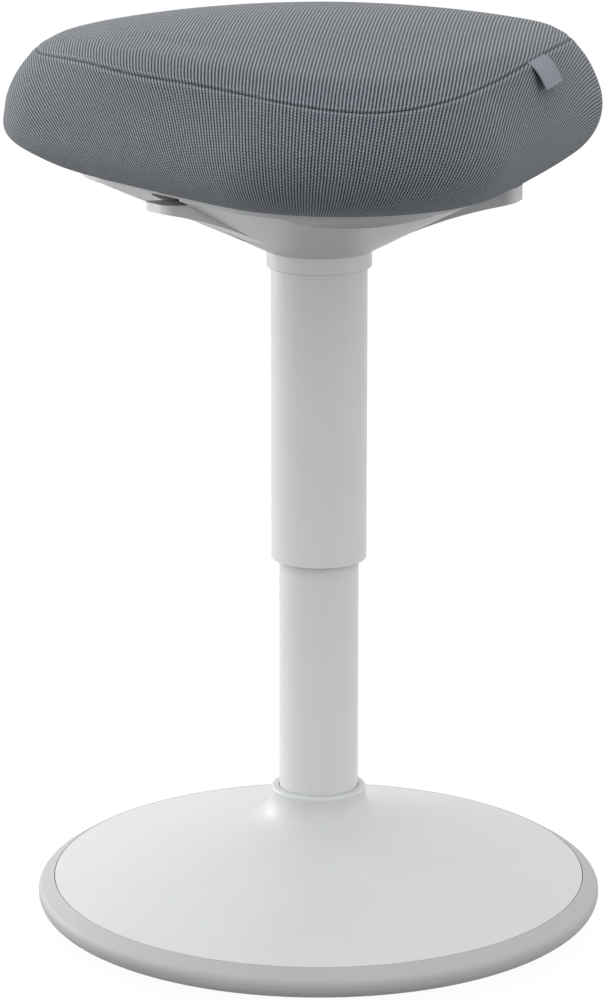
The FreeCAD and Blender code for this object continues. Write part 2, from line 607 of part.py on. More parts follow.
board_top = "rim_z + board_height"
fastener_ring("seat_bolts", "bolt_radius", pan_top, "pan_wall + board_height - tip_gap", "bolt_head",
              f"{pan_top} - bolt_head_height", "bolt_head_height", "bolt_circle", seat_bolt_angles)
nuts = []
for order, angle in enumerate(seat_bolt_angles):
    barrel = rod(f"nut_barrel_{order}", "nut_barrel", "rim_z", "board_height", "bolt_circle", angle)
    flange = rod(f"nut_flange_{order}", "nut_flange", f"{board_top} - nut_flange_height", "nut_flange_height",
                 "bolt_circle", angle)
    thread = rod(f"nut_thread_{order}", "bolt_radius", "rim_z", "board_height", "bolt_circle", angle)
    nuts.append(cut(f"nut_{order}", joined(f"nut_blank_{order}", [barrel, flange]), thread))
keep(joined("t_nuts", nuts, "Part::Compound"), "t_nuts")
flange_under = "rim_z - flange_height"
fastener_ring("shell_screws", "shell_screw_radius", flange_under, "flange_height + shell_screw_depth",
              "shell_screw_head", flange_under, "shell_screw_head_height", "shell_screw_circle", CORNERS)
doc.recompute()


def polar(reach, angle, height):
    turn = math.radians(angle)
    return Vector(reach * math.cos(turn), reach * math.sin(turn), height)


def outline(corner, side, rounding, height):
    """A rounded triangle: three corner arcs joined by three long tangent arcs."""
    corner_centre = corner - rounding
    side_gap = side - rounding
    side_centre = (side_gap ** 2 - corner_centre ** 2) / (corner_centre - 2 * side_gap)
    edges = []
    for angle in sorted(CORNERS):
        centre = polar(corner_centre, angle, height)
        before = polar(side_centre, angle + 120, height)
        after = polar(side_centre, angle - 120, height)
        start = centre + (centre - before).normalize() * rounding
        end = centre + (centre - after).normalize() * rounding
        following = polar(corner_centre, angle + 120, height)
        meet = following + (following - after).normalize() * rounding
        edges.append(Part.Arc(start, polar(corner, angle, height), end).toShape())
        edges.append(Part.Arc(end, polar(side, angle + 60, height), meet).toShape())
    return Part.Wire(edges)


def circle_like(radius, shape, height):
    """A circle cut at the same directions as an outline's corners, to loft from."""
    ends = [math.degrees(math.atan2(edge.Vertexes[0].Y, edge.Vertexes[0].X)) for edge in shape.Edges]
    edges = []
    for start, end in zip(ends, ends[1:] + ends[:1]):
        turn = (end - start) % 360
        edges.append(Part.Arc(polar(radius, start, height), polar(radius, start + turn / 2, height),
                              polar(radius, start + turn, height)).toShape())
    return Part.Wire(edges)


def prism(wire, height):
    return Part.Face(wire).extrude(Vector(0, 0, height))


def upright(radius, bottom, top, reach=0, angle=0):
    return Part.makeCylinder(radius, top - bottom, polar(reach, angle, bottom))


def piece(label, shape, place=None):
    thing = doc.addObject("Part::Feature", label)
    thing.Shape = shape
    if place:
        thing.Placement = place
    return keep(thing, label)


size = {alias: mm(alias) for alias, number, note in SIZES}


def side_profile(points, underside=None):
    """A closed outline in the XZ plane; underside adds an arc's middle point after the first."""
    corners = [Vector(x, 0, z) for x, z in points]
    edges = []
    for order, (start, end) in enumerate(zip(corners, corners[1:] + corners[:1])):
        if order == 0 and underside:
            edges.append(Part.Arc(start, Vector(underside[0], 0, underside[1]), end).toShape())
        else:
            edges.append(Part.LineSegment(start, end).toShape())
    return Part.Face(Part.Wire(edges))


def slab(face, width):
    """A profile of the XZ plane made this wide, centred on it."""
    face.translate(Vector(0, -width / 2, 0))
    return face.extrude(Vector(0, width, 0))


def grip_bar(top):
    """The outer bar of a grip wing or of the lever, along +X."""
    outer = size["wing_outer"]
    bar = slab(side_profile([(size["wing_inner"], size["wing_inner_z"]), (outer, size["wing_outer_z"])] + top,
                            (size["wing_middle"], size["wing_middle_z"])), size["wing_width"])
    upright_edges = [edge for edge in bar.Edges
                     if all(abs(point.X - outer) < 0.01 for point in edge.Vertexes)
                     and abs(edge.Vertexes[0].Z - edge.Vertexes[1].Z) > 1]
    return bar.makeFillet(size["wing_round"], upright_edges)


# Shell: a funnel from the collar's circle to the rounded triangle of the rim
flange_z = size["rim_z"] - size["flange_height"]
wall_top = outline(size["rim_corner"] - size["rim_step"], size["rim_side"] - size["rim_step"],
                   size["rim_round"] - size["rim_step"], flange_z)
funnel = Part.makeLoft([circle_like(size["shell_throat"], wall_top, size["shell_bottom"]), wall_top], True, True)
flange = prism(outline(size["rim_corner"], size["rim_side"], size["rim_round"], flange_z), size["flange_height"])
wing_top = size["rim_z"] - size["wing_drop"]
shell = funnel.fuse(flange)
for angle in SIDES:
    if angle != size["lever_angle"]:
        wing = grip_bar([(size["wing_outer"], wing_top), (size["wing_outer"] - size["wing_flat"], wing_top),
                         (size["wing_root_x"], size["wing_root_z"])])
        wing.rotate(Vector(), Vector(0, 0, 1), angle)
        shell = shell.fuse(wing)
cavity_top = outline(size["cavity_corner"], size["cavity_side"], size["cavity_round"], size["rim_z"])
throat_inside = size["shell_throat"] - size["shell_wall"]
cavity_bottom = circle_like(throat_inside, cavity_top, size["shell_bottom"] + size["shell_wall"])
shell = shell.cut(Part.makeLoft([cavity_bottom, cavity_top], True, True))
shell = shell.cut(upright(size["sleeve_radius"] + size["hole_gap"] / 2, size["shell_bottom"], size["sleeve_top"]))
grip_round = size["grip_height"] / 2
for angle in CORNERS:
    reach = size["grip_depth"] + size["grip_curve"]
    bottom = flange_z - size["grip_height"]
    recess = upright(size["grip_curve"] - grip_round, bottom, flange_z, reach, angle)
    recess = recess.fuse(Part.makeTorus(size["grip_curve"] - grip_round, grip_round,
                                        polar(reach, angle, bottom + grip_round)))
    shell = shell.cut(recess)
    shell = shell.cut(upright(size["shell_screw_radius"] + size["hole_gap"], flange_z, size["rim_z"],
                              size["shell_screw_circle"], angle))
    shell = shell.cut(upright(size["shell_screw_head"] + size["hole_gap"], flange_z,
                              flange_z + size["shell_screw_head_height"], size["shell_screw_circle"], angle))
slot_width = size["wing_width"] + 2 * size["lever_gap"]
slot_start = size["wing_inner"] - size["lever_gap"]
slot = Part.makeBox(size["wing_outer"], slot_width, size["rim_z"] - size["lever_roof"] - size["shell_bottom"],
                    Vector(slot_start, -slot_width / 2, size["shell_bottom"]))
slot.rotate(Vector(), Vector(0, 0, 1), size["lever_angle"])
piece("seat_shell", shell.cut(slot).removeSplitter())

# Release lever, its bracket and pivot pin, drawn along +X and turned to the lever's side
lever_place = Placement(Vector(), Rotation(Vector(0, 0, 1), size["lever_angle"]))
pivot_x = size["pivot_x"]
pivot_z = size["pivot_z"]
blade = grip_bar([(size["wing_outer"], size["lever_end_z"]),
                  (size["wing_outer"] - size["wing_flat"], size["lever_end_z"] - size["lever_fall"]),
                  (size["wing_inner"], size["wing_inner_z"] + size["lever_blade"])])
tip_z = size["button_top"] + size["soft_gap"]
arm_top_z = pivot_z + size["arm_top"]
arm = slab(side_profile([
    (-size["arm_tip"], tip_z),
    (size["arm_bend"], tip_z),
    (size["arm_knee"], pivot_z),
    (size["arm_heel"], size["arm_heel_z"]),
    (size["arm_toe"], size["arm_toe_z"]),
    (size["arm_toe"], arm_top_z),
    (size["arm_knee"] + size["arm_height"], arm_top_z),
    (size["arm_bend"] + size["arm_height"], tip_z + size["arm_height"]),
    (-size["arm_tip"], tip_z + size["arm_height"]),
]), size["lever_arm"])


def cross_pin(radius, length):
    return Part.makeCylinder(radius, length, Vector(pivot_x, length / 2, pivot_z), Vector(0, -1, 0))


piece("release_lever", blade.fuse(arm).cut(cross_pin(size["pivot_radius"] + size["running_fit"], slot_width))
      .removeSplitter(), lever_place)
piece("pivot_pin", cross_pin(size["pivot_radius"], size["pivot_length"]), lever_place)
bracket_half = size["lever_arm"] / 2 + size["lever_gap"]
bracket_wide = bracket_half + size["ear_wall"]
bracket_bottom = pivot_z - size["ear_height"]
bracket_top = size["rim_z"] - size["pan_wall"]
bracket_start = pivot_x - size["bracket_length"] / 2
bracket = Part.makeBox(size["bracket_length"], 2 * bracket_wide, bracket_top - bracket_bottom,
                       Vector(bracket_start, -bracket_wide, bracket_bottom))
between_ears = Part.makeBox(size["bracket_length"], 2 * bracket_half,
                            bracket_top - bracket_bottom - size["ear_wall"],
                            Vector(bracket_start, -bracket_half, bracket_bottom))
bracket = bracket.cut(between_ears)
piece("lever_bracket", bracket.cut(cross_pin(size["pivot_radius"], size["pivot_length"])), lever_place)

# Seat board
board = prism(outline(size["rim_corner"] - size["board_inset"], size["rim_side"] - size["board_inset"],
                      size["rim_round"] - size["board_inset"], size["rim_z"]), size["board_height"])
board_z = size["rim_z"] + size["board_height"]
for angle in seat_bolt_angles:
    board = board.cut(upright(size["nut_barrel"] + size["hole_gap"], size["rim_z"], board_z,
                              size["bolt_circle"], angle))
    board = board.cut(upright(size["nut_flange"] + size["hole_gap"], board_z - size["nut_flange_height"], board_z,
                              size["bolt_circle"], angle))
for angle in CORNERS:
    board = board.cut(upright(size["shell_screw_radius"], size["rim_z"], size["rim_z"] + size["shell_screw_depth"],
                              size["shell_screw_circle"], angle))
piece("seat_board", board)


def cushion(inset):
    """The cushion's form: it rolls out from the rim to its widest line, then in to the seam."""
    sections = []
    for turn in (0, 30, 60, 90):
        swell = math.sin(math.radians(turn))
        drop = (size["widest_z"] - size["rim_z"] - inset) * math.cos(math.radians(turn))
        reach = [size[f"rim_{part}"] + (size[f"wide_{part}"] - inset - size[f"rim_{part}"]) * swell
                 for part in ("corner", "side", "round")]
        sections.append(outline(*reach, size["widest_z"] - drop))
    for level in ("flank", "shoulder", "brow", "verge", "peak"):
        reach = [size[f"{level}_{part}"] - inset for part in ("corner", "side", "round")]
        sections.append(outline(*reach, size[f"{level}_z"]))
    return Part.makeLoft(sections, True, False)


def crown(inset):
    """The ball whose cap is the cushion's crowned top."""
    return Part.makeSphere(size["crown_radius"] - inset, Vector(0, 0, size["crown_z"] - size["crown_radius"]))


cloth = size["cover_cloth"]
gap = size["soft_gap"]
board_pocket = prism(outline(size["rim_corner"] - size["board_inset"] + gap,
                             size["rim_side"] - size["board_inset"] + gap,
                             size["rim_round"] - size["board_inset"] + gap, size["rim_z"]),
                     size["board_height"] + gap)
seam_prism = prism(outline(size["seam_corner"], size["seam_side"], size["seam_round"], size["seam_low"]),
                   size["peak_z"] - size["seam_low"])
inside = cushion(cloth).common(crown(cloth))
outside = cushion(0).common(crown(0))
skin = outside.cut(inside)
piece("cover_top", skin.common(seam_prism))
piece("cover_side", skin.cut(seam_prism).cut(board_pocket))
piece("foam_pad", cushion(cloth + gap).common(crown(cloth + gap)).cut(board_pocket))


def reach_at(height):
    """How far the cushion's outside is from the axis at this height, where the tag hangs."""
    ray = Part.makeLine(polar(0, size["tag_angle"], height), polar(2 * size["wide_corner"], size["tag_angle"], height))
    return ray.common(outside).Length


# The tag lies on the flank, with its upper edge in the seam
half_length = size["tag_length"] / 2
upper_reach = reach_at(size["tag_z"] + half_length)
middle_reach = reach_at(size["tag_z"])
lower_reach = reach_at(size["tag_z"] - half_length)
tag_lean = math.degrees(math.atan2(lower_reach - upper_reach, size["tag_length"]))
tag_reach = max(middle_reach, (upper_reach + lower_reach) / 2)
tag_reach += (gap + size["tag_height"] / 2) / math.cos(math.radians(tag_lean))
tag = Part.makeBox(size["tag_height"], size["tag_width"], size["tag_length"],
                   Vector(-size["tag_height"] / 2, -size["tag_width"] / 2, -half_length))
piece("side_tag", tag, Placement(polar(tag_reach, size["tag_angle"], size["tag_z"]),
                                 Rotation(Vector(0, 0, 1), size["tag_angle"])
                                 * Rotation(Vector(0, 1, 0), -tag_lean)))

doc.recompute()
for thing in doc.Objects:
    if "Invalid" in thing.State or "Error" in thing.State:
        raise RuntimeError(f"{thing.Label} failed: {thing.State}")
for node in nodes:
    if node.Shape.isNull() or not node.Shape.isValid() or not node.Shape.Solids:
        raise RuntimeError(f"{node.Label} has no valid solid")
os.makedirs("parts", exist_ok=True)
for node in nodes:
    node.Shape.exportStep(f"parts/{node.Label}.step")
    box = node.Shape.BoundBox
    print(f"{node.Label}: {len(node.Shape.Solids)} solids, {node.Shape.Volume / 1000:.1f} cm3, "
          f"z {box.ZMin:.1f} to {box.ZMax:.1f}")
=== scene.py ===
import json
import math

import bmesh
import bpy
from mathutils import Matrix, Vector
from mathutils.bvhtree import BVHTree


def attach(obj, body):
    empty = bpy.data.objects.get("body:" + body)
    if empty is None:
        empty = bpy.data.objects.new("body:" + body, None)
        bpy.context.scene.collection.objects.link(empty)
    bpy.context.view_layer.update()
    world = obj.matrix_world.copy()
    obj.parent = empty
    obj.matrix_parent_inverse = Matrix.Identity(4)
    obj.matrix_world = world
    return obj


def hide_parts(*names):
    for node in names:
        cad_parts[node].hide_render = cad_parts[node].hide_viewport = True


# Wobble stool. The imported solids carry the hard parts; the cushion with its seam, and the
# tag, are made here. Lengths are in metres.

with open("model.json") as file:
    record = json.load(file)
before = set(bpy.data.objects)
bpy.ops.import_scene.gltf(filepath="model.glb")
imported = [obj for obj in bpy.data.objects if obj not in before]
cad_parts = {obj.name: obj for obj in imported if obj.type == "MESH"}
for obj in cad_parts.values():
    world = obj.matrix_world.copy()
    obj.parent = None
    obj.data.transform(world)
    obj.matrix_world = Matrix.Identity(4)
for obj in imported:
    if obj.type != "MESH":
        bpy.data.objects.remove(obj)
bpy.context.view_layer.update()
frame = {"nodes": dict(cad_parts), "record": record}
print("stage: frame loaded")


def reckon(tree, operation, *values):
    # One Math node: each value is a number or another node's output
    node = tree.nodes.new("ShaderNodeMath")
    node.operation = operation
    for socket, value in zip(node.inputs, values):
        if isinstance(value, bpy.types.NodeSocket):
            tree.links.new(value, socket)
        else:
            socket.default_value = value
    return node.outputs[0]


def standing(name, thing, place):
    piece = bpy.data.objects.new(name, thing)
    piece.location = place
    bpy.context.collection.objects.link(piece)
    return piece


def madePiece(name, bm, finish):
    # The finished mesh as a piece at the origin
    mesh = bpy.data.meshes.new(name)
    bm.to_mesh(mesh)
    bm.free()
    mesh.materials.append(finish)
    return standing(name, mesh, (0, 0, 0))


studio = {
    "cameraPlace": (-0.3994, -2.2651, 0.8776),
    "cameraDown": 14.755,      # degrees below the horizon
    "cameraTurn": 9.744,       # degrees to the right of +Y
    "lens": 136.9,
    "sensorWidth": 36,
    "world": (0.985, 0.99, 1.0),
    "worldStrength": 1.05,
    "floorSize": 40.0,
    "floorGap": 0.0002,        # the floor lies this far under the foot
    "floorTone": 0.26,
    "floorRoughness": 0.9,
    "floorShine": 0.1,
    "floorGlow": 0.8,          # share of the floor that is seen as plain white paper
    "glowStrength": 1.2,
}

lamps = {
    # place, aims at, size, watts
    "leftSoftbox": ((-2.2, -0.3, 0.5), (0, 0, 0.45), 0.9, 4.0),
    "rightSoftbox": ((2.0, -0.75, 0.6), (0, 0, 0.35), 0.8, 4.5),
    "topSoftbox": ((-1.2, -0.4, 2.0), (0, 0, 0.3), 1.2, 4),
    "backSoftbox": ((-1.5, 1.35, 0.6), (0, 0, 0.35), 0.9, 18),
}


def setCamera():
    cameraData = bpy.data.cameras.new("camera")
    cameraData.lens = studio["lens"]
    cameraData.sensor_width = studio["sensorWidth"]
    camera = standing("camera", cameraData, studio["cameraPlace"])
    pitch = math.radians(90 - studio["cameraDown"])
    camera.rotation_euler = (pitch, 0, -math.radians(studio["cameraTurn"]))
    bpy.context.scene.camera = camera
    bpy.context.scene.view_settings.view_transform = "Standard"


def hangLamps():
    for name, (place, target, size, watts) in lamps.items():
        light = bpy.data.lights.new(name, "AREA")
        light.shape = "DISK"
        light.size = size
        light.energy = watts
        lamp = standing(name, light, place)
        direction = Vector(target) - lamp.location
        lamp.rotation_euler = direction.to_track_quat("-Z", "Y").to_euler()

    world = bpy.data.worlds.new("studioWorld")
    world.use_nodes = True
    background = world.node_tree.nodes["Background"]
    background.inputs["Color"].default_value = (*studio["world"], 1)
    background.inputs["Strength"].default_value = studio["worldStrength"]
    bpy.context.scene.world = world


def paperFinish():
    # White paper: partly plain white to the camera, while the rest takes the shadow
    paper = bpy.data.materials.new("paperFloor")
    paper.use_nodes = True
    tree = paper.node_tree
    paint = tree.nodes["Principled BSDF"]
    tone = studio["floorTone"]
    paint.inputs["Base Color"].default_value = (tone, tone, tone, 1)
    paint.inputs["Roughness"].default_value = studio["floorRoughness"]
    paint.inputs["Specular IOR Level"].default_value = studio["floorShine"]
    glow = tree.nodes.new("ShaderNodeEmission")
    glow.inputs["Strength"].default_value = studio["glowStrength"]
    rays = tree.nodes.new("ShaderNodeLightPath")
    seen = rays.outputs["Is Camera Ray"]
    for rayKind in ("Is Glossy Ray", "Is Transmission Ray"):
        seen = reckon(tree, "MAXIMUM", seen, rays.outputs[rayKind])
    mix = tree.nodes.new("ShaderNodeMixShader")
    tree.links.new(reckon(tree, "MULTIPLY", seen, studio["floorGlow"]), mix.inputs["Fac"])
    tree.links.new(paint.outputs["BSDF"], mix.inputs[1])
    tree.links.new(glow.outputs["Emission"], mix.inputs[2])
    tree.links.new(mix.outputs["Shader"], tree.nodes["Material Output"].inputs["Surface"])
    return paper


def layFloor():
    bm = bmesh.new()
    bmesh.ops.create_grid(bm, x_segments=1, y_segments=1, size=studio["floorSize"] / 2)
    bmesh.ops.translate(bm, verts=bm.verts, vec=(0, 0, -studio["floorGap"]))
    floor = madePiece("floor", bm, paperFinish())


setCamera()
hangLamps()
layFloor()
print("stage: studio")


def newFinish(name):
    made = bpy.data.materials.new(name)
    made.use_nodes = True
    tree = made.node_tree
    place = tree.nodes.new("ShaderNodeTexCoord").outputs["Object"]
    return made, tree, tree.nodes["Principled BSDF"], place


def noiseAt(tree, coordinates, scale, detail):
    node = tree.nodes.new("ShaderNodeTexNoise")
    node.inputs["Scale"].default_value = scale
    node.inputs["Detail"].default_value = detail
    tree.links.new(coordinates, node.inputs["Vector"])
    return node.outputs["Fac"]


def toneBetween(tree, amount, low, high, stops):
    # A colour from low to high as the amount passes from the first stop to the second
    node = tree.nodes.new("ShaderNodeValToRGB")
    for element, stop, colour in zip(node.color_ramp.elements, stops, (low, high)):
        element.position = stop
        element.color = (*colour, 1)
    tree.links.new(amount, node.inputs["Fac"])
    return node.outputs["Color"]


def toneOver(tree, amount, below, above):
    # The fixed colour above covers the colour below by this amount
    mix = tree.nodes.new("ShaderNodeMix")
    mix.data_type = "RGBA"
    tree.links.new(amount, mix.inputs["Factor"])
    tree.links.new(below, mix.inputs["A"])
    mix.inputs["B"].default_value = (*above, 1)
    return mix.outputs["Result"]


def raised(tree, shader, height, strength, distance):
    bump = tree.nodes.new("ShaderNodeBump")
    bump.inputs["Strength"].default_value = strength
    bump.inputs["Distance"].default_value = distance
    tree.links.new(height, bump.inputs["Height"])
    tree.links.new(bump.outputs["Normal"], shader.inputs["Normal"])


def shaded(colour, share):
    return tuple(min(1.0, part * share) for part in colour)


finishes = {
    # colour, roughness, metallic, grain size in grains per metre, grain depth, tone variation
    "shell_plastic": ((0.54, 0.55, 0.555), 0.42, 0.0, 2600, 0.05, 0.03),
    "base_plastic": ((0.60, 0.61, 0.61), 0.45, 0.0, 2600, 0.05, 0.02),
    # a darker copy of the base plastic: painted shade on the rim ring
    "rim_plastic_shaded": ((0.43, 0.435, 0.435), 0.58, 0.0, 2600, 0.05, 0.02),
    # a lighter copy of the shell plastic: painted light on the lever's shaded blade
    "lever_plastic_lit": ((0.76, 0.77, 0.765), 0.42, 0.0, 2600, 0.05, 0.02),
    "tube_paint": ((0.66, 0.668, 0.67), 0.36, 0.0, 1500, 0.04, 0.02),
    "tag_weave": ((0.22, 0.24, 0.27), 0.8, 0.0, 2400, 0.3, 0.08),
    "foam": ((0.78, 0.74, 0.60), 0.95, 0.0, 700, 0.4, 0.08),
    "foot_rubber": ((0.025, 0.025, 0.028), 0.8, 0.0, 1200, 0.2, 0.2),
    "ballast_iron": ((0.045, 0.045, 0.048), 0.65, 0.6, 900, 0.35, 0.3),
    "hub_alloy": ((0.52, 0.53, 0.54), 0.38, 1.0, 1400, 0.12, 0.1),
    "zinc_steel": ((0.50, 0.50, 0.49), 0.32, 1.0, 500, 0.03, 0.25),
    "black_steel": ((0.02, 0.02, 0.022), 0.35, 0.0, 1500, 0.06, 0.15),
    "bearing_steel": ((0.62, 0.63, 0.64), 0.1, 1.0, 600, 0.01, 0.05),
    "bush_plastic": ((0.03, 0.03, 0.033), 0.5, 0.0, 1500, 0.08, 0.1),
}

moulding = {
    "cloudSize": 14,           # clouds per metre
    "cloudDetail": 4,
    "cloudStops": (0.3, 0.7),
    "glossSpread": 0.12,       # the roughness differs by this much over the clouds
    "grainDetail": 2,
    "grainHeight": 0.0004,
}


def mouldedFinish(name, colour, roughness, metallic, grain, depth, variation):
    # A cloudy tone, a slightly uneven gloss and a fine grain on the piece's own coordinates
    made, tree, shader, place = newFinish(name)
    shader.inputs["Metallic"].default_value = metallic
    cloud = noiseAt(tree, place, moulding["cloudSize"], moulding["cloudDetail"])
    darker, lighter = shaded(colour, 1 - variation), shaded(colour, 1 + variation)
    tone = toneBetween(tree, cloud, darker, lighter, moulding["cloudStops"])
    tree.links.new(tone, shader.inputs["Base Color"])
    spread = moulding["glossSpread"]
    gloss = reckon(tree, "MULTIPLY_ADD", cloud, spread, roughness - spread / 2)
    tree.links.new(gloss, shader.inputs["Roughness"])
    fine = noiseAt(tree, place, grain, moulding["grainDetail"])
    raised(tree, shader, fine, depth, moulding["grainHeight"])
    return made


plywood = {
    "roughness": 0.6,
    "grainStretch": (12, 160, 90),
    "grainDetail": 5,
    "dark": (0.42, 0.27, 0.14),
    "light": (0.62, 0.45, 0.27),
    "stops": (0.35, 0.68),
    "plyPitch": 0.0024,
    "glueEdge": 0.86,          # nearer to 1 makes the glue lines thinner
    "glueShare": 0.6,
    "glue": (0.16, 0.09, 0.045),
    "grainDepth": 0.15,
    "grainHeight": 0.0005,
}


def plywoodFinish():
    # Birch ply: long soft grain on the faces and dark glue lines on the edge
    made, tree, shader, place = newFinish("plywood")
    shader.inputs["Roughness"].default_value = plywood["roughness"]
    stretch = tree.nodes.new("ShaderNodeMapping")
    stretch.inputs["Scale"].default_value = plywood["grainStretch"]
    tree.links.new(place, stretch.inputs["Vector"])
    grain = noiseAt(tree, stretch.outputs["Vector"], 1, plywood["grainDetail"])
    face = toneBetween(tree, grain, plywood["dark"], plywood["light"], plywood["stops"])
    split = tree.nodes.new("ShaderNodeSeparateXYZ")
    tree.links.new(place, split.inputs["Vector"])
    plyTurn = reckon(tree, "MULTIPLY", split.outputs["Z"], 2 * math.pi / plywood["plyPitch"])
    glue = reckon(tree, "GREATER_THAN", reckon(tree, "SINE", plyTurn), plywood["glueEdge"])
    glueTone = reckon(tree, "MULTIPLY", glue, plywood["glueShare"])
    tone = toneOver(tree, glueTone, face, plywood["glue"])
    tree.links.new(tone, shader.inputs["Base Color"])
    raised(tree, shader, grain, plywood["grainDepth"], plywood["grainHeight"])
    return made


knit = {
    "ribPitch": 0.00215,       # one rib of the knit
    "loopPitch": 0.0019,       # one loop along a rib
    "light": (0.315, 0.345, 0.38),
    "dark": (0.012, 0.015, 0.022),
    "toneStops": (0.02, 0.92),
    "roughness": 0.88,
    "shine": 0.25,
    "sheen": 0.18,
    "sheenRoughness": 0.45,
    "wander": 0.0007,          # how far a rib strays from its line
    "wanderSize": 60,
    "loopLean": 1.6,           # how far a loop lags across its rib, in radians
    "loopTone": 0.78,
    "topLoops": 0.2,           # how strongly loops show on the top panel
    "sideLoops": 0.4,          # and how much more on the sides, where the cloth is stretched
    "heather": 0.34,           # how much single yarns differ in tone
    "yarnSize": 560,
    "ribRelief": 0.7,
    "ribDepth": 0.0005,
    "loopRelief": 0.3,
    # the colour of the painted shade in the seam groove
    "seam": (0.012, 0.014, 0.02),
    "seamShadeHalf": 0.0005,
    "stitchPitch": 0.0027,
    "seamShade": 0.62,       # how dark the painted seam shade is, and how much each stitch changes it
    "stitchChange": 0.3,
    "foldAt": 0.0021,          # the folded edges that stand up beside the seam
    "foldHalf": 0.0009,
    # the painted highlight on those folded edges
    "foldHighlight": 0.16,
}


def mapAxes(tree, mapName):
    source = tree.nodes.new("ShaderNodeUVMap")
    source.uv_map = mapName
    split = tree.nodes.new("ShaderNodeSeparateXYZ")
    tree.links.new(source.outputs["UV"], split.inputs["Vector"])
    return split.outputs["X"], split.outputs["Y"]


def wave(tree, turn):
    # Runs from 0 to 1 and back once in every turn
    return reckon(tree, "MULTIPLY_ADD", reckon(tree, "SINE", turn), 0.5, 0.5)


def knitFinish():
    # Ribs follow the ribs map, and single loops show as beads along each rib
    made, tree, shader, place = newFinish("cushion_knit")
    shader.inputs["Roughness"].default_value = knit["roughness"]
    shader.inputs["Specular IOR Level"].default_value = knit["shine"]
    shader.inputs["Sheen Weight"].default_value = knit["sheen"]
    shader.inputs["Sheen Roughness"].default_value = knit["sheenRoughness"]
    across, along = mapAxes(tree, "ribs")
    alongSeam, fromSeam = mapAxes(tree, "seam")

    wander = noiseAt(tree, place, knit["wanderSize"], 2)
    strayed = reckon(tree, "MULTIPLY_ADD", wander, knit["wander"], across)
    ribTurn = reckon(tree, "MULTIPLY", strayed, 2 * math.pi / knit["ribPitch"])
    rib = wave(tree, ribTurn)
    halfTurn = reckon(tree, "SINE", reckon(tree, "MULTIPLY", ribTurn, 0.5))
    lean = reckon(tree, "MULTIPLY", halfTurn, knit["loopLean"])
    loop = wave(tree, reckon(tree, "MULTIPLY_ADD", along, 2 * math.pi / knit["loopPitch"], lean))

    # Ribs and loops give the tone, with single yarns lighter or darker
    onSide = reckon(tree, "GREATER_THAN", fromSeam, 0.0)
    loopShare = reckon(tree, "MULTIPLY_ADD", onSide, knit["sideLoops"], knit["topLoops"])
    loopAbove = reckon(tree, "SUBTRACT", loop, 0.5)
    loopTone = reckon(tree, "MULTIPLY_ADD", loopAbove, loopShare, knit["loopTone"])
    body = reckon(tree, "MULTIPLY", rib, loopTone)
    yarn = reckon(tree, "SUBTRACT", noiseAt(tree, place, knit["yarnSize"], 2), 0.5)
    heathered = reckon(tree, "MULTIPLY_ADD", yarn, knit["heather"], body)

    # The folded edges beside the seam get a painted highlight: a lighter band in the colour where they
    # would catch the light
    seamAway = reckon(tree, "ABSOLUTE", fromSeam)
    foldAway = reckon(tree, "ABSOLUTE", reckon(tree, "SUBTRACT", seamAway, knit["foldAt"]))
    foldFall = reckon(tree, "DIVIDE", foldAway, knit["foldHalf"])
    foldHighlightMask = reckon(tree, "MAXIMUM", reckon(tree, "SUBTRACT", 1.0, foldFall), 0.0)
    folded = reckon(tree, "MULTIPLY_ADD", foldHighlightMask, knit["foldHighlight"], heathered)
    cloth = toneBetween(tree, folded, knit["dark"], knit["light"], knit["toneStops"])

    # The seam groove gets painted shade: a thin dark line in the colour, broken where each stitch
    # crosses it
    stitchTurn = reckon(tree, "MULTIPLY", alongSeam, 2 * math.pi / knit["stitchPitch"])
    stitchWave = reckon(tree, "SINE", stitchTurn)
    stitch = reckon(tree, "MULTIPLY_ADD", stitchWave, knit["stitchChange"], knit["seamShade"])
    inSeamShade = reckon(tree, "LESS_THAN", seamAway, knit["seamShadeHalf"])
    tone = toneOver(tree, reckon(tree, "MULTIPLY", inSeamShade, stitch), cloth, knit["seam"])
    tree.links.new(tone, shader.inputs["Base Color"])

    height = reckon(tree, "MULTIPLY_ADD", loop, knit["loopRelief"], rib)
    raised(tree, shader, height, knit["ribRelief"], knit["ribDepth"])
    return made


materials = {name: mouldedFinish(name, *values) for name, values in finishes.items()}
materials["plywood"] = plywoodFinish()
materials["cushion_knit"] = knitFinish()

# Each solid wears its slot's finish, but these three differ in tone from their neighbours: the rim
# ring's darker plastic is painted shade, and the lever's lighter plastic is painted light
finishOf = {part["node"]: part["material_slot"] for part in frame["record"]["subparts"]}
# the rim ring wears a darker plastic as painted shade
finishOf["rim_ring"] = "rim_plastic_shaded"
# the lever wears a lighter plastic as painted light
finishOf["release_lever"] = "lever_plastic_lit"
finishOf["collar_ring"] = "tube_paint"
for nodeName, node in frame["nodes"].items():
    for index in range(len(node.data.materials)):
        node.data.materials[index] = materials[finishOf[nodeName]]
print("stage: materials")


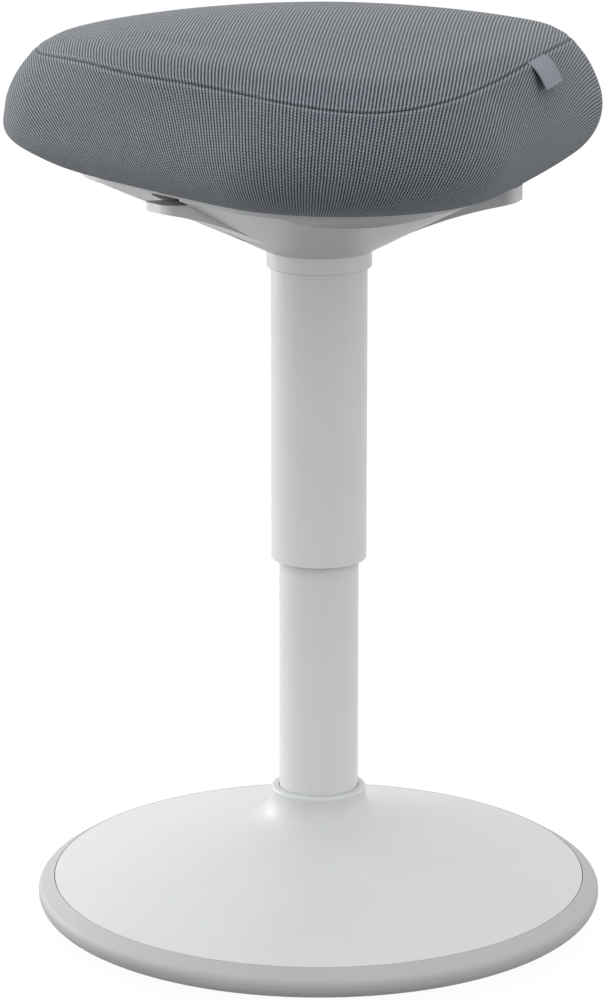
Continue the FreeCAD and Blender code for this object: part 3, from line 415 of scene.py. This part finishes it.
cushion = {
    "segments": 180,
    "topRings": 26,
    "flankRings": 30,
    "corners": (270, 30, 150),           # degrees from +X
    "centre": (0, 0, 0.505),             # rays start outside the cushion and run to here
    "rayStart": 0.4,
    "rayLength": 0.39,
    "raySteps": 150,
    "lowestRay": 118,                    # degrees from straight up
    # Outlines: axis to corner, axis to side, corner radius
    "seam": (0.1825, 0.144, 0.084),
    "rim": (0.151, 0.119, 0.085),
    "pocket": (0.1493, 0.1173, 0.0833),  # where the board sits
    "rimHeight": 0.4797,
    "rimMargin": 0.0015,                 # the last ray's point stays this far above the rim
    "pocketTop": 0.4918,
    "pocketShares": (1.0, 0.55, 0.1),    # rings over the board, as shares of the pocket
    "pocketTurn": 0.01,                  # the ribs map runs on this far under the rim
    "crownStart": 0.008,                 # the first ring's way from the crown
    # Where the sewn outline keeps off its triangle: angle, distance, width in degrees
    "seamShifts": ((270, 0.0035, 14), (30, -0.005, 40), (150, -0.003, 25), (212, 0.003, 24)),
    "seamLoops": (0.0007, 0.0016, 0.0036),
    "seamLifts": (0.0, 0.00036, 0.0006), # how far the cloth stands up at those loops
    "seamMargin": 0.003,                 # from the last loop to the evenly spaced rings
    "grooveDepth": 0.0009,
    "slopeReach": 0.004,                 # the skin's slope is taken over this length each way
    "farFromSeam": 0.1,
    "ribDirection": 15,                  # degrees from +Y towards +X
    # The lobe over the lever is pushed out below its widest point and raised near the rim
    "fullLobe": 165,                     # degrees from +X
    "fullLobeWidth": 45,
    "lobePush": 0.0034,
    "lobePushEnd": 0.85,                 # share of the way down to the rim
    "lobePushPower": 1.5,
    "lobeRaise": 0.0028,
    "lobeRaisePower": 3.2,
}


def outTo(theta, reach, height):
    return Vector((reach * math.cos(theta), reach * math.sin(theta), height))


def reachOf(point):
    return math.hypot(point.x, point.y)


def degreesOff(theta, angle):
    return abs((math.degrees(theta) - angle + 180) % 360 - 180)


def bell(theta, angle, width):
    # 1 at this angle, falling to nothing over the width
    return math.exp(-(degreesOff(theta, angle) / width) ** 2)


def roundedTriangle(theta, corner, side, rounding):
    # Distance from the axis to a rounded triangle's outline in this direction: an arc round
    # each corner, and between two corners a wide arc centred beyond the axis
    cornerReach = corner - rounding
    sideGap = side - rounding
    sideReach = (sideGap ** 2 - cornerReach ** 2) / (cornerReach - 2 * sideGap)
    away = math.radians(min(degreesOff(theta, angle) for angle in cushion["corners"]))
    cornerToSide = math.radians(60)
    cornerCentre = Vector((cornerReach, 0))
    sideCentre = Vector((-math.cos(cornerToSide), -math.sin(cornerToSide))) * sideReach
    meet = cornerCentre + (cornerCentre - sideCentre).normalized() * rounding
    if away <= math.atan2(meet.y, meet.x):
        off = cornerReach * math.sin(away)
        return cornerReach * math.cos(away) + math.sqrt(rounding ** 2 - off ** 2)
    fromSide = cornerToSide - away
    off = sideReach * math.sin(fromSide)
    return -sideReach * math.cos(fromSide) + math.sqrt((sideReach + side) ** 2 - off ** 2)


def seamReach(theta):
    reach = roundedTriangle(theta, *cushion["seam"])
    for angle, shift, width in cushion["seamShifts"]:
        reach += shift * bell(theta, angle, width)
    return reach


def coverSkin():
    bm = bmesh.new()
    for name in ("cover_top", "cover_side"):
        bm.from_mesh(frame["nodes"][name].data)
    tree = BVHTree.FromBMesh(bm)
    bm.free()
    return tree


skin = coverSkin()


def fillLobe(points, theta):
    share = bell(theta, cushion["fullLobe"], cushion["fullLobeWidth"])
    widest = max(points, key=reachOf).z
    for point in points:
        if point.z < widest:
            drop = (widest - point.z) / (widest - cushion["rimHeight"])
            swell = math.sin(math.pi * min(1.0, drop / cushion["lobePushEnd"]))
            out = cushion["lobePush"] * share * swell ** cushion["lobePushPower"]
            stretch = 1 + out / reachOf(point)
            point.x *= stretch
            point.y *= stretch
            rise = math.sin(math.pi * drop ** cushion["lobeRaisePower"])
            point.z += cushion["lobeRaise"] * share * rise


def meridian(theta):
    # Points on the cushion's outside from the crown down to the rim, with the length so far
    centre = Vector(cushion["centre"])
    points = []
    for step in range(cushion["raySteps"] + 1):
        fall = math.radians(cushion["lowestRay"]) * step / cushion["raySteps"]
        direction = outTo(theta, math.sin(fall), math.cos(fall))
        start = centre + direction * cushion["rayStart"]
        hit = skin.ray_cast(start, -direction, cushion["rayLength"])[0]
        if hit is None or hit.z < cushion["rimHeight"] + cushion["rimMargin"]:
            break
        points.append(hit)
    points.append(outTo(theta, roundedTriangle(theta, *cushion["rim"]), cushion["rimHeight"]))
    fillLobe(points, theta)
    lengths = [0.0]
    for before, after in zip(points, points[1:]):
        lengths.append(lengths[-1] + (after - before).length)
    return points, lengths


def pointAt(points, lengths, length):
    for index in range(1, len(points)):
        if lengths[index] >= length:
            gap = max(lengths[index] - lengths[index - 1], 1e-9)
            share = (length - lengths[index - 1]) / gap
            return points[index - 1].lerp(points[index], max(0.0, share))
    return points[-1].copy()


def lengthAtReach(points, lengths, reach):
    # The first place going down where the cushion is this far from the axis
    for index in range(1, len(points)):
        here = reachOf(points[index])
        if here >= reach:
            before = reachOf(points[index - 1])
            share = (reach - before) / max(here - before, 1e-9)
            return lengths[index - 1] + share * (lengths[index] - lengths[index - 1])
    raise ValueError("the seam lies outside the cushion")


def outward(points, lengths, length):
    # The skin's direction away from the foam, square to the meridian
    above = pointAt(points, lengths, max(0.0, length - cushion["slopeReach"]))
    below = pointAt(points, lengths, length + cushion["slopeReach"])
    down = (below - above).normalized()
    side = Vector((-above.y, above.x, 0)).normalized()
    return -side.cross(down).normalized()


def cushionSpokes():
    # For each segment its direction, its meridian and where the seam crosses it
    spokes = []
    for index in range(cushion["segments"]):
        theta = 2 * math.pi * index / cushion["segments"]
        points, lengths = meridian(theta)
        spokes.append((theta, points, lengths, lengthAtReach(points, lengths, seamReach(theta))))
    return spokes


def skinRing(spokes, place, lift=0.0):
    # One ring on the skin: each point, its length from the crown and its way from the seam
    ring = []
    for theta, points, lengths, seamAt in spokes:
        length = place(seamAt, lengths[-1])
        point = pointAt(points, lengths, length)
        if lift:
            point = point + outward(points, lengths, length) * lift
        ring.append((point, length, length - seamAt))
    return ring


def cushionRings(spokes):
    # From the crown down: the top panel, the loops round the seam, the sides, the underside
    crown = cushion["crownStart"]
    band = cushion["seamLoops"][-1] + cushion["seamMargin"]
    loops = list(zip(cushion["seamLoops"], cushion["seamLifts"]))
    rings = []
    for step in range(cushion["topRings"] + 1):
        share = step / cushion["topRings"]
        rings.append(skinRing(spokes, lambda seamAt, end: crown + (seamAt - band - crown) * share))
    for away, lift in reversed(loops):
        rings.append(skinRing(spokes, lambda seamAt, end: seamAt - away, lift))
    seamRing = len(rings)
    rings.append(skinRing(spokes, lambda seamAt, end: seamAt, -cushion["grooveDepth"]))
    for away, lift in loops:
        rings.append(skinRing(spokes, lambda seamAt, end: seamAt + away, lift))
    for step in range(cushion["flankRings"] + 1):
        share = step / cushion["flankRings"]
        rings.append(skinRing(spokes, lambda seamAt, end: seamAt + band + (end - seamAt - band) * share))

    underside = [(1.0, cushion["rimHeight"])]
    underside += [(share, cushion["pocketTop"]) for share in cushion["pocketShares"]]
    for share, height in underside:
        ring = []
        for theta, points, lengths, seamAt in spokes:
            point = outTo(theta, roundedTriangle(theta, *cushion["pocket"]) * share, height)
            ring.append((point, lengths[-1] + cushion["pocketTurn"], cushion["farFromSeam"]))
        rings.append(ring)
    return rings, seamRing


def grownSkin(rings):
    # Grows the mesh ring by ring, and keeps each corner's segment and lengths in facts
    count = cushion["segments"]
    bm = bmesh.new()
    facts = {}

    def lay(verts, ring):
        for vert in verts:
            index = round(math.atan2(vert.co.y, vert.co.x) / (2 * math.pi) * count) % count
            facts[vert] = (index, *ring[index][1:])
            vert.co = ring[index][0]

    made = bmesh.ops.create_circle(bm, cap_ends=False, segments=count, radius=cushion["crownStart"])
    lay(made["verts"], rings[0])
    edges = list(bm.edges)
    caps = bmesh.ops.contextual_create(bm, geom=edges)["faces"]
    for ring in rings[1:]:
        grown = bmesh.ops.extrude_edge_only(bm, edges=edges)["geom"]
        verts = {part for part in grown if isinstance(part, bmesh.types.BMVert)}
        sides = [part for part in grown if isinstance(part, bmesh.types.BMEdge)]
        edges = [edge for edge in sides if verts.issuperset(edge.verts)]
        lay(verts, ring)
    caps += bmesh.ops.contextual_create(bm, geom=edges)["faces"]
    for vert in bmesh.ops.poke(bm, faces=caps)["verts"]:
        facts[vert] = (0, 0.0, cushion["farFromSeam"])
    bmesh.ops.recalc_face_normals(bm, faces=bm.faces)
    return bm, facts


def mapCloth(bm, facts, seamPoints):
    # Two maps: where each corner lies on the unrolled knit, and where it lies by the seam
    count = cushion["segments"]
    ribs = bm.loops.layers.uv.new("ribs")
    seam = bm.loops.layers.uv.new("seam")
    turn = math.radians(cushion["ribDirection"])
    seamLength = [0.0]
    for index in range(count):
        step = seamPoints[(index + 1) % count] - seamPoints[index]
        seamLength.append(seamLength[-1] + step.length)
    for face in bm.faces:
        indices = [facts[loop.vert][0] for loop in face.loops]
        wraps = max(indices) - min(indices) > count / 2
        for loop in face.loops:
            index, length, away = facts[loop.vert]
            flat = outTo(2 * math.pi * index / count, length, 0)
            across = flat.x * math.cos(turn) - flat.y * math.sin(turn)
            along = flat.x * math.sin(turn) + flat.y * math.cos(turn)
            loop[ribs].uv = (across, along)
            loop[seam].uv = (seamLength[count if wraps and index == 0 else index], away)
        face.smooth = True


def buildCushion():
    rings, seamRing = cushionRings(cushionSpokes())
    bm, facts = grownSkin(rings)
    mapCloth(bm, facts, [point for point, length, away in rings[seamRing]])
    piece = madePiece("cushion", bm, materials["cushion_knit"])
    rounding = piece.modifiers.new("rounding", "SUBSURF")
    rounding.levels = 1
    rounding.render_levels = 1
    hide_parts("foam_pad", "cover_top", "cover_side")
    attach(piece, "seat")
    print("stage: cushion", len(piece.data.polygons), "faces")


buildCushion()


tag = {
    "angles": (316.4, 327.7),                # where the sewn edge starts and ends, from +X
    "hang": (0.0111, -0.0058, -0.0157),      # from the sewn edge to the free edge
    "tuck": (-0.0004, 0.0002, 0.0),          # the sewn edge goes this far into the seam
    "bow": 0.0024,                           # it stands out from the seam before it hangs
    "bowPower": 0.6,                         # below 1 the bow comes nearer to the seam
    "thickness": 0.0009,
    "edgeRadius": 0.00022,
    "edgeAngle": 40,
    "rows": 12,
    "columns": 14,
}


def buildTag():
    # A bare woven tag, sewn into the seam by its upper edge
    low, high = tag["angles"]
    hang = Vector(tag["hang"])
    bow = Vector((hang.x, hang.y, 0)).normalized() * tag["bow"]
    bm = bmesh.new()
    bmesh.ops.create_grid(bm, x_segments=tag["columns"], y_segments=tag["rows"], size=0.5)
    for vert in bm.verts:
        theta = math.radians(low + (high - low) * (vert.co.x + 0.5))
        down = 0.5 - vert.co.y
        points, lengths = meridian(theta)
        sewn = pointAt(points, lengths, lengthAtReach(points, lengths, seamReach(theta)))
        bowed = bow * math.sin(math.pi * down ** tag["bowPower"])
        vert.co = sewn + Vector(tag["tuck"]) + hang * down + bowed
    bmesh.ops.recalc_face_normals(bm, faces=bm.faces)
    bmesh.ops.solidify(bm, geom=bm.faces[:], thickness=tag["thickness"])
    bmesh.ops.recalc_face_normals(bm, faces=bm.faces)
    limit = math.radians(tag["edgeAngle"])
    sharp = [edge for edge in bm.edges if edge.calc_face_angle(0) > limit]
    bmesh.ops.bevel(bm, geom=sharp, offset=tag["edgeRadius"], affect="EDGES",
                    segments=2, profile=0.5, material=-1)
    for face in bm.faces:
        face.smooth = True
    piece = madePiece("sideTag", bm, materials["tag_weave"])
    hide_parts("side_tag")
    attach(piece, "seat")


buildTag()
print("stage: tag")


print("stage: done")
